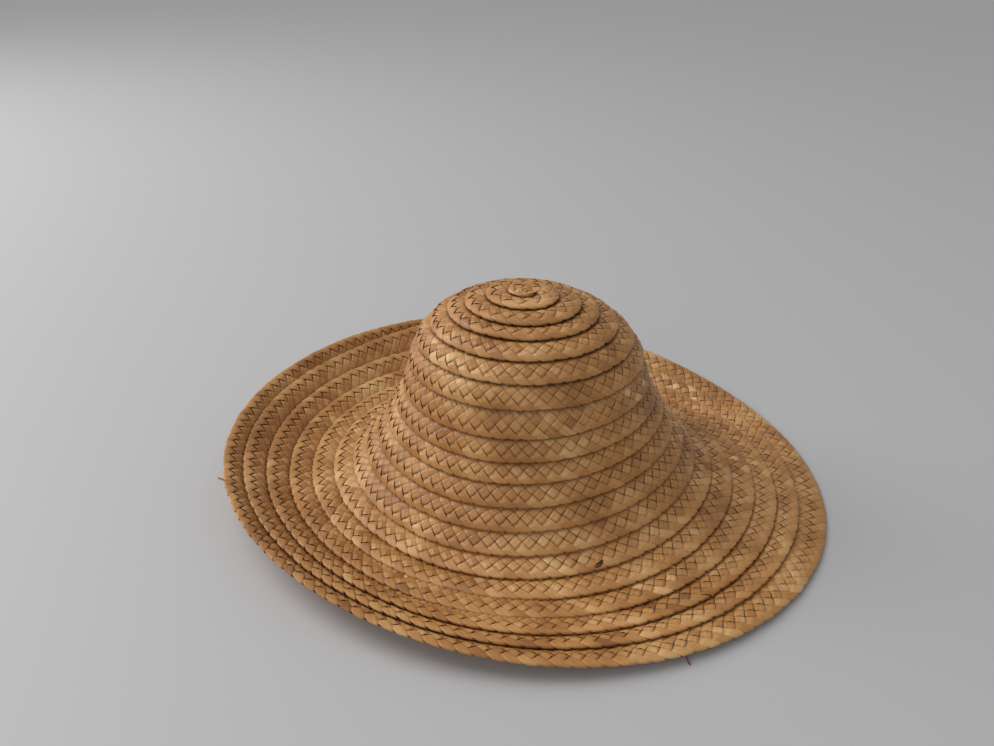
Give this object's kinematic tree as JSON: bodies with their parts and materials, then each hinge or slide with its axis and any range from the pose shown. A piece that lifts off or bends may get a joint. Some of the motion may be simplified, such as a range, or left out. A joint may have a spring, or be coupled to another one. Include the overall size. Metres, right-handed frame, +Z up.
{
  "type": "wide-brimmed plaited straw sun hat",
  "caption": "Sun hat sewn round and round from flat straw plait, with a tall domed crown that flares into a wide, gently waved brim.",
  "frame": {"origin": "on the surface that the hat rests on, below the middle of its bounding box", "axes": "+Z up through the crown, +X along the hat's longer side to the viewer's right, -Y toward the viewer of the picture"},
  "size_m": [0.4306, 0.3948, 0.1458],
  "materials": {
    "crown_straw": "dry split palm straw, honey brown, slightly glossy on the flat of each strand",
    "brim_straw": "dry split palm straw, honey brown, slightly glossy on the flat of each strand"
  },
  "bodies": {
    "root": {"crown": "crown_straw", "brim": "brim_straw"}
  },
  "joints": []
}
